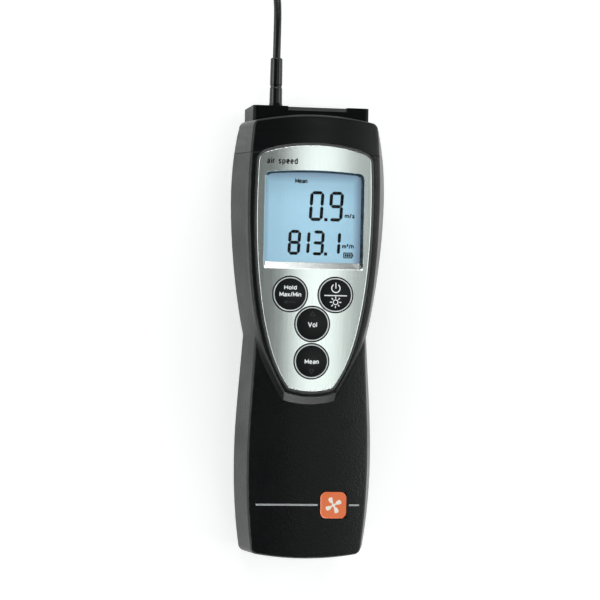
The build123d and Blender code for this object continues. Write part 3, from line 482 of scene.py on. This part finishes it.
def circle_points(x, y, radius, count, start=0.0, turn=360.0):
    """Points round a circle, or along an arc of it from start through turn degrees."""
    step = math.radians(turn) / (count if turn == 360.0 else count - 1)
    angles = [math.radians(start) + i * step for i in range(count)]
    return [(x + radius * math.cos(angle), y + radius * math.sin(angle)) for angle in angles]


def heading(start, end):
    return (Vector(end) - Vector(start)).normalized()


def band(points, width, closed=False):
    """Quads of a given width (mm) along a line of (x, y) points, mitred where it turns."""
    ends = points + points[:1] if closed else points
    line = []
    for (ax, ay), (bx, by) in zip(ends, ends[1:]):
        pieces = math.ceil(math.hypot(bx - ax, by - ay) / BAND_PIECE)
        line += [(ax + (bx - ax) * i / pieces, ay + (by - ay) * i / pieces) for i in range(pieces)]
    if not closed:
        line.append(ends[-1])
    sides = []
    for i, point in enumerate(line):
        arriving = heading(line[i - 1], point) if closed or i else heading(point, line[1])
        leaving = heading(point, line[(i + 1) % len(line)]) if closed or i < len(line) - 1 else arriving
        along = (arriving + leaving).normalized()
        reach = width / 2 / max(MITRE_LIMIT, along.dot(arriving))
        side = Vector((-along.y, along.x)) * reach
        sides.append((Vector(point) + side, Vector(point) - side))
    following = sides[1:] + sides[:1] if closed else sides[1:]
    return [[tuple(corner) for corner in (a, b, d, c)] for (a, b), (c, d) in zip(sides, following)]


def lettering(name, text, width, material, body):
    """Flat lettering of a given width (mm) on the plane z = 0, centred over its baseline."""
    curve = bpy.data.curves.new(name + "_text", "FONT")
    curve.body = text
    curve.fill_mode = "FRONT"
    curve.resolution_u = 3
    source = bpy.data.objects.new(name + "_source", curve)
    bpy.context.scene.collection.objects.link(source)
    bpy.context.view_layer.update()
    depsgraph = bpy.context.evaluated_depsgraph_get()
    mesh = bpy.data.meshes.new_from_object(source.evaluated_get(depsgraph))
    bpy.data.objects.remove(source)
    xs = [v.co.x for v in mesh.vertices]
    left = min(xs)
    scale = width * MM / (max(xs) - left)
    for vertex in mesh.vertices:
        x = (vertex.co.x - left) * scale - width * MM / 2
        vertex.co = (x, vertex.co.y * scale, 0.0)
    mesh.name = name
    return place_piece(name, mesh, material, body)


# Round-hand letters as pen strokes: width, then lines of (x, y), in cap heights
ARCH_OF_N = [(0, 0.56), (0.2, 0.72), (0.4, 0.7), (0.5, 0.56), (0.5, 0)]
GLYPHS = {
    "H": (0.7, [[(0, 0), (0, 1)], [(0.7, 0), (0.7, 1)], [(0, 0.52), (0.7, 0.52)]]),
    "M": (0.84, [[(0, 0), (0, 1), (0.42, 0.25), (0.84, 1), (0.84, 0)]]),
    "V": (0.76, [[(0, 1), (0.38, 0), (0.76, 1)]]),
    "a": (
        0.5,
        [
            [(0.06, 0.64), (0.28, 0.72), (0.5, 0.58), (0.5, 0)],
            [(0.5, 0.4), (0.14, 0.4), (0, 0.2), (0.14, 0), (0.5, 0.12)],
        ],
    ),
    "d": (
        0.56,
        [
            [(0.56, 0), (0.56, 1)],
            [(0.56, 0.6), (0.3, 0.72), (0.04, 0.58), (0.04, 0.14), (0.3, 0), (0.56, 0.12)],
        ],
    ),
    "e": (
        0.54,
        [
            [(0, 0.38), (0.54, 0.38), (0.48, 0.62), (0.27, 0.72), (0.06, 0.6), (0, 0.36)]
            + [(0.08, 0.1), (0.3, 0), (0.5, 0.08)],
        ],
    ),
    "h": (0.5, [[(0, 0), (0, 1)], ARCH_OF_N]),
    "i": (0.0, [[(0, 0), (0, 0.72)], [(0, 0.92), (0, 1.04)]]),
    "l": (0.0, [[(0, 0), (0, 1)]]),
    "m": (
        0.84,
        [
            [(0, 0), (0, 0.72)],
            [(0, 0.56), (0.16, 0.72), (0.42, 0.6), (0.42, 0)],
            [(0.42, 0.56), (0.6, 0.72), (0.84, 0.6), (0.84, 0)],
        ],
    ),
    "n": (0.5, [[(0, 0), (0, 0.72)], ARCH_OF_N]),
    "o": (
        0.56,
        [
            [(0.28, 0.72), (0.06, 0.6), (0, 0.36), (0.06, 0.12), (0.28, 0), (0.5, 0.12)]
            + [(0.56, 0.36), (0.5, 0.6), (0.28, 0.72)],
        ],
    ),
    "p": (
        0.54,
        [
            [(0, -0.28), (0, 0.72)],
            [(0, 0.58), (0.26, 0.72), (0.54, 0.54), (0.54, 0.18), (0.26, 0), (0, 0.12)],
        ],
    ),
    "r": (0.32, [[(0, 0), (0, 0.72)], [(0, 0.5), (0.14, 0.68), (0.32, 0.7)]]),
    "s": (
        0.44,
        [
            [(0.44, 0.62), (0.22, 0.72), (0.02, 0.6), (0.06, 0.44), (0.4, 0.28)]
            + [(0.44, 0.12), (0.22, 0), (0, 0.1)],
        ],
    ),
    "x": (0.5, [[(0, 0), (0.5, 0.72)], [(0, 0.72), (0.5, 0)]]),
    "/": (0.34, [[(0, -0.05), (0.34, 1.05)]]),
    " ": (0.2, []),
    "³": (0.26, [[(0, 1.05), (0.26, 1.05), (0.1, 0.86), (0.26, 0.76), (0.2, 0.6), (0, 0.6)]]),
}
LETTER_GAP = 0.3


def pen_text(text, x_span, y_low, high, width, gap=LETTER_GAP):
    """Quads of a short text, fitted to x_span, with caps of the given height, in mm."""
    lines, reach = [], 0.0
    for letter in text:
        wide, strokes = GLYPHS[letter]
        lines += [[(reach + x, y) for x, y in stroke] for stroke in strokes]
        reach += wide + gap
    across = (x_span[1] - x_span[0] - width) / (reach - gap)
    left, tall = x_span[0] + width / 2, high - width
    quads = []
    for line in lines:
        quads += band([(left + x * across, y_low + width / 2 + y * tall) for x, y in line], width)
    return quads


# ---------------------------------------------------------------- display content
lcd_ink = printed("lcd_segments", (0.001, 0.0015, 0.002), 0.6)
INK_LIFT = 0.00004  # print stands clear of the surface below it
LCD_SHIFT = 0.6  # the display lies below the plate, so its marks sit a little to the right
SMALL_PEN = 0.4  # width of the display's small lines

SEGMENTS = {"0": "abcdef", "1": "bc", "3": "abcdg", "8": "abcdefg", "9": "abcdfg"}
SLANT = 0.05
SEGMENT_GAP = 0.05  # shortening of each end of a segment, in thicknesses


def segment_outlines(letters, x, y, wide, high, thick):
    """Hexagons of a seven-segment digit whose lower left corner is (x, y)."""
    half, gap = thick / 2, thick * SEGMENT_GAP
    left, right = x + half, x + wide - half
    low, mid, top = y + half, y + high / 2, y + high - half
    ends = {
        "a": ((left, top), (right, top)),
        "b": ((right, mid), (right, top)),
        "c": ((right, low), (right, mid)),
        "d": ((left, low), (right, low)),
        "e": ((left, low), (left, mid)),
        "f": ((left, mid), (left, top)),
        "g": ((left, mid), (right, mid)),
    }
    outlines = []
    for letter in letters:
        (ax, ay), (bx, by) = ends[letter]
        if ay == by:
            ax, bx = ax + gap, bx - gap
            lower = [(ax + half, ay - half), (bx - half, by - half)]
            upper = [(bx - half, by + half), (ax + half, ay + half)]
            shape = [(ax, ay), *lower, (bx, by), *upper]
        else:
            ay, by = ay + gap, by - gap
            right_side = [(ax + half, ay + half), (bx + half, by - half)]
            left_side = [(bx - half, by - half), (ax - half, ay + half)]
            shape = [(ax, ay), *right_side, (bx, by), *left_side]
        outlines.append([(px + (py - y) * SLANT, py) for px, py in shape])
    return outlines


def lcd_mark(name, outlines):
    shifted = [[(x + LCD_SHIFT, y) for x, y in outline] for outline in outlines]
    raised(name, shifted, top_of("lcd_glass") + INK_LIFT, lcd_ink, "meter")


def reading(name, digits, y, wide, high, thick, dot):
    """Digits, each with the place of its left side, and a decimal point at dot."""
    outlines = []
    for letter, x in digits:
        outlines += segment_outlines(SEGMENTS[letter], x, y, wide, high, thick)
    outlines.append(box_outline(dot, y, thick, thick))
    lcd_mark(name, outlines)


reading("reading_speed", (("0", -2.3), ("9", 5.7)), 44.8, 5.7, 12.0, 1.3, 4.1)
reading("reading_flow", (("8", -10.7), ("1", -6.9), ("3", -1.1), ("1", 5.6)), 31.0, 5.1, 10.0, 1.25, 4.3)
for name, text, span, y_low, high in (
    ("lcd_mean", "Mean", (-8.1, -3.1), 59.7, 2.0),
    ("lcd_speed_unit", "m/s", (12.4, 16.5), 46.2, 1.9),
    ("lcd_flow_unit", "m³/h", (11.6, 16.4), 33.9, 1.9),
):
    lcd_mark(name, pen_text(text, span, y_low, high, SMALL_PEN))
icon_x, icon_y = 12.4, 30.3
icon_case = band(box_outline(icon_x, icon_y, 3.3, 1.9), SMALL_PEN, True)
icon_knob = box_outline(icon_x + 3.4, icon_y + 0.5, 0.4, 0.9)
icon_bars = [box_outline(icon_x + across, icon_y + 0.4, 0.7, 1.1) for across in (0.45, 1.3, 2.15)]
lcd_mark("lcd_battery_icon", icon_case + [icon_knob] + icon_bars)

# ---------------------------------------------------------------- key legends
key_ink = printed("key_legend", (0.9, 0.93, 0.94), 0.4)
faint_ink = printed("key_legend_faint", (0.05, 0.06, 0.06), 0.4)
LEGEND_LIFT, LEGEND_HIGH = 0.00005, 0.00001
KEY_RIM_R, KEY_RIM_DROP = 0.0069, 0.0007  # the dome falls by the drop at this radius
FAINT_PEN, LINE_PEN, LETTER_PEN = 0.22, 0.42, 0.36


def key_surface(name):
    """The drop of a key's domed top from its centre, as a function of (x, y)."""
    centre = middle(f"button_{name}")
    sphere = (KEY_RIM_R**2 + KEY_RIM_DROP**2) / (2 * KEY_RIM_DROP)
    return lambda x, y: sphere - math.sqrt(sphere**2 - (x - centre.x) ** 2 - (y - centre.y) ** 2)


def key_mark(name, key, outlines, ink):
    """A printed mark given round its key's centre, in mm."""
    centre = middle(f"button_{key}") / MM
    placed = [[(centre.x + x, centre.y + y) for x, y in outline] for outline in outlines]
    base_z = top_of(f"button_{key}") + LEGEND_LIFT
    raised(name, placed, base_z, ink, f"key_{key}", LEGEND_HIGH, key_surface(key))


def key_text(name, key, text, wide, y_low, high):
    key_mark(name, key, pen_text(text, (-wide / 2, wide / 2), y_low, high, LETTER_PEN), key_ink)


key_text("legend_hold", "hold", "Hold", 5.1, 1.75, 1.85)
key_text("legend_maxmin", "hold", "Max/Min", 8.8, -1.05, 1.9)
arrow = band([(-2.4, -3.2), (2.4, -3.2)], 0.2) + band([(-1.2, -2.6), (-2.4, -3.2), (-1.2, -3.8)], 0.2)
key_mark("legend_arrow", "hold", arrow, faint_ink)
key_text("legend_vol", "vol", "Vol", 3.7, -1.3, 2.15)
key_mark("legend_up", "vol", band([(-1.0, 3.3), (1.0, 3.3), (0.0, 5.0)], FAINT_PEN, True), faint_ink)
key_text("legend_mean", "mean", "Mean", 5.7, -1.1, 1.95)
key_mark("legend_down", "mean", band([(-1.0, -3.3), (1.0, -3.3), (0.0, -5.0)], FAINT_PEN, True), faint_ink)
key_mark("legend_line", "power", band([(-4.6, -0.25), (4.6, -0.25)], LINE_PEN), key_ink)
power_arc = band(circle_points(0.0, 2.7, 1.7, 30, 125.0, 290.0), LINE_PEN)
key_mark("legend_power", "power", power_arc + band([(0.0, 2.6), (0.0, 4.9)], LINE_PEN), key_ink)
LAMP_Y, LAMP_R, RAY_FROM, RAY_TO, RAYS = -2.9, 0.95, 1.45, 2.35, 8
lamp_marks = band(circle_points(0.0, LAMP_Y, LAMP_R, 24), 0.34, True)
for i in range(RAYS):
    angle = 2 * math.pi * i / RAYS
    ray = [(reach * math.cos(angle), LAMP_Y + reach * math.sin(angle)) for reach in (RAY_FROM, RAY_TO)]
    lamp_marks += band(ray, 0.4)
key_mark("legend_lamp", "power", lamp_marks, key_ink)

# ---------------------------------------------------------------- plate and handle marks
plate_ink = printed("plate_print", (0.003, 0.0033, 0.0035), 0.6)
title_marks = pen_text("air speed", (-19.7, -7.2), 67.1, 2.6, 0.45, gap=0.44)
raised("plate_title", title_marks, top_of("face_plate") + INK_LIFT, plate_ink, "meter")

badge_ink = printed("badge_print", (0.9, 0.84, 0.74), 0.4)
PETAL = ((0.5, 0.0), (1.6, 1.1), (2.9, 1.3), (3.5, 0.5), (3.2, -0.5), (2.0, -0.4))
BADGE_LIFT, FAN_TURN = 0.00001, 20
badge_at = middle("badge") / MM
petals = []
for i in range(4):
    angle = math.radians(90 * i + FAN_TURN)
    cos, sin = math.cos(angle), math.sin(angle)
    petals.append([(badge_at.x + x * cos - y * sin, badge_at.y + x * sin + y * cos) for x, y in PETAL])
petals.append(circle_points(badge_at.x, badge_at.y, 0.75, 20))
raised("badge_fan", petals, top_of("badge") + BADGE_LIFT, badge_ink, "meter")

# Label on the rear face, read from behind
label_ink = printed("label_ink", (0.02, 0.02, 0.022), 0.5)
LABEL_ROWS = (
    ("Air velocity meter", 26.0),
    ("9 V battery   0.4 - 20 m/s", 28.0),
    ("0 ... 50 °C   class III", 24.0),
)
FIRST_ROW, ROW_PITCH = 9.0, 7.5  # the baselines' places from the label's upper end, in mm
label_low, label_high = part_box("rear_label")
for row, (text, wide) in enumerate(LABEL_ROWS):
    line = lettering(f"label_row_{row}", text, wide, label_ink, "meter")
    baseline = label_high.y - (FIRST_ROW + ROW_PITCH * row) * MM
    for vertex in line.data.vertices:
        x, y, _ = vertex.co
        vertex.co = (-x, y + baseline, label_low.z - INK_LIFT)
    line.data.flip_normals()

# ---------------------------------------------------------------- the free lead
LEAD_R = 1.6
TABLE_GAP = 0.05
COIL_X, COIL_Y, COIL_MID_R = 4.0, 186.0, 19.0
COLUMN_R = [COIL_MID_R + (i - 1) * 2 * LEAD_R for i in range(3)]
LAYER_Z = [TABLE_GAP + LEAD_R * (1 + 2 * i) for i in range(4)]
# Each turn's column and layer in the coil, from the meter's end to the probe's
TURNS = ((2, 0), (1, 0), (0, 0), (0, 1), (1, 1), (2, 1), (2, 2), (1, 2), (0, 2), (0, 3), (1, 3))
POINTS_PER_TURN = 16
STEP_POINTS = 5  # points of each turn over which it moves to the next place

# Control points of the lead's two free stretches, in mm
RUN_ROUTE = [
    (-13.5, 111.4, 18.0),
    (-13.4, 122.0, 17.8),
    (-12.8, 135.0, 13.8),
    (-13.8, 148.0, 7.1),
    (-16.2, 161.0, 2.4),
    (-17.9, 172.5, LAYER_Z[0] + 0.05),
]
TAIL_ROUTE = [
    (COIL_X - COLUMN_R[1] - 0.1, 200.0, 11.0),
    (-14.5, 211.5, 9.0),
    (-14.1, 222.5, 8.9),
    (-14.0, 233.0, 9.2),
]


def coil_turns():
    """Control points of the coil, wound clockwise as seen from above."""
    outside = 1.0 / math.cos(math.pi / POINTS_PER_TURN)  # control points lie outside the curve
    points = []
    for turn, (column, layer) in enumerate(TURNS):
        following = TURNS[min(turn + 1, len(TURNS) - 1)]
        for i in range(POINTS_PER_TURN):
            moved = max(0.0, (i - (POINTS_PER_TURN - STEP_POINTS)) / STEP_POINTS)
            moved = moved * moved * (3 - 2 * moved)  # an even start and stop
            radius = (COLUMN_R[column] * (1 - moved) + COLUMN_R[following[0]] * moved) * outside
            level = LAYER_Z[layer] * (1 - moved) + LAYER_Z[following[1]] * moved
            angle = math.pi - 2 * math.pi * i / POINTS_PER_TURN
            points.append((COIL_X + radius * math.cos(angle), COIL_Y + radius * math.sin(angle), level))
    points.append((COIL_X - COLUMN_R[TURNS[-1][0]], COIL_Y + 1.0, LAYER_Z[TURNS[-1][1]]))
    return points


route = RUN_ROUTE + coil_turns() + TAIL_ROUTE
lead_curve = bpy.data.curves.new("lead", "CURVE")
lead_curve.dimensions = "3D"
lead_curve.bevel_depth = LEAD_R * MM
lead_curve.bevel_resolution = 5
lead_curve.resolution_u = 6
lead_curve.use_fill_caps = True
spline = lead_curve.splines.new("NURBS")
spline.points.add(len(route) - 1)
for point, (x, y, z) in zip(spline.points, route):
    point.co = (x * MM, y * MM, z * MM, 1.0)
spline.order_u = 3
spline.use_endpoint_u = True
lead_curve.materials.append(lead_jacket)
lead = bpy.data.objects.new("lead", lead_curve)
bpy.context.scene.collection.objects.link(lead)
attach(lead, "meter")
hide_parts("cable_run", "cable_coil", "cable_tail")

# ---------------------------------------------------------------- stage
FLOOR_REACH, FLOOR_Z = 6.0, -0.0002
FLOOR_CORNERS = ((-1, -1), (1, -1), (1, 1), (-1, 1))
floor_s = Shader("studio_floor", (0.7, 0.7, 0.7), 0.9, Emission_Color=(1, 1, 1, 1), Emission_Strength=0.53)
paper = floor_s.noise(14.0, 3.0)
floor_s.colour(floor_s.ramp(paper, [(0.3, (0.69, 0.69, 0.69)), (0.7, (0.71, 0.71, 0.71))]))
floor_mesh = bpy.data.meshes.new("floor")
corners = [(x * FLOOR_REACH, y * FLOOR_REACH, FLOOR_Z) for x, y in FLOOR_CORNERS]
floor_mesh.from_pydata(corners, [], [(0, 1, 2, 3)])
floor_mesh.materials.append(floor_s.material)
floor = bpy.data.objects.new("floor", floor_mesh)
bpy.context.scene.collection.objects.link(floor)

# The surroundings glow low down, like a paper sweep, and are dark overhead
HORIZON, ZENITH = (0.12, (0.9, 0.9, 0.9, 1.0)), (0.5, (0.07, 0.074, 0.073, 1.0))
world = bpy.data.worlds.new("studio")
bpy.context.scene.world = world
world.use_nodes = True
sky = world.node_tree
height = sky.nodes.new("ShaderNodeSeparateXYZ")
sky.links.new(sky.nodes.new("ShaderNodeTexCoord").outputs["Generated"], height.inputs[0])
fall = sky.nodes.new("ShaderNodeValToRGB")
for element, (position, colour) in zip(fall.color_ramp.elements, (HORIZON, ZENITH)):
    element.position = position
    element.color = colour
sky.links.new(height.outputs["Z"], fall.inputs["Fac"])
sky.links.new(fall.outputs["Color"], sky.nodes["Background"].inputs["Color"])
bpy.context.scene.view_settings.view_transform = "Standard"

# ---------------------------------------------------------------- camera
YAW, ROLL = math.radians(9.5), math.radians(1.26)
DISTANCE, WIDTH_SEEN = 0.9, 0.245  # from the meter, and what the picture is wide there
SENSOR = 36.0
AIM = Vector((-0.002, 0.0129, 0.020))
towards = Vector((-math.sin(YAW), 0.0, math.cos(YAW)))
camera_data = bpy.data.cameras.new("camera")
camera_data.sensor_width = SENSOR
camera_data.lens = SENSOR * DISTANCE / WIDTH_SEEN
camera_data.clip_end = 50.0
camera = bpy.data.objects.new("camera", camera_data)
up = Vector((-math.sin(ROLL), math.cos(ROLL), 0.0))
right = up.cross(towards).normalized()
up = towards.cross(right).normalized()
rotation = Matrix((right, up, towards)).transposed()
camera.matrix_world = Matrix.Translation(AIM + towards * DISTANCE) @ rotation.to_4x4()
bpy.context.scene.collection.objects.link(camera)
bpy.context.scene.camera = camera

# ---------------------------------------------------------------- lights
WHITE, COOL = (1, 1, 1), (0.95, 1.0, 0.98)
# Name, place, target, size, power and colour of each soft light
LIGHTS = (
    ("plate_strip", (0.31, 0.05, 1.6), (0.0, 0.05, 0.0), (0.66, 0.4), 1.25, COOL),
    ("left_fill", (-0.35, 0.05, 1.6), (0.0, 0.05, 0.0), (0.6, 0.6), 0.14, COOL),
    ("right_fill", (1.02, 0.1, 1.6), (0.0, 0.0, 0.0), (0.75, 0.8), 0.8, COOL),
    ("left_panel", (-2.2, -0.1, 0.75), (0.0, 0.0, 0.1), (3.0, 1.1), 38.0, COOL),
    ("right_panel", (2.0, 0.1, 1.15), (0.0, 0.0, 0.0), (1.6, 1.3), 18.0, COOL),
    ("far_panel", (0.1, 2.1, 0.95), (0.0, 0.0, 0.0), (2.2, 0.55), 32.0, WHITE),
    ("near_panel", (0.0, -2.0, 0.35), (0.0, 0.0, 0.1), (2.8, 0.55), 44.0, WHITE),
)
for name, place, target, size, power, colour in LIGHTS:
    light = bpy.data.lights.new(name, "AREA")
    light.shape = "RECTANGLE"
    light.size, light.size_y = size
    light.energy = power
    light.color = colour
    lamp = bpy.data.objects.new(name, light)
    lamp.visible_camera = False
    lamp.location = place
    lamp.rotation_euler = (Vector(target) - Vector(place)).to_track_quat("-Z", "Y").to_euler()
    bpy.context.scene.collection.objects.link(lamp)
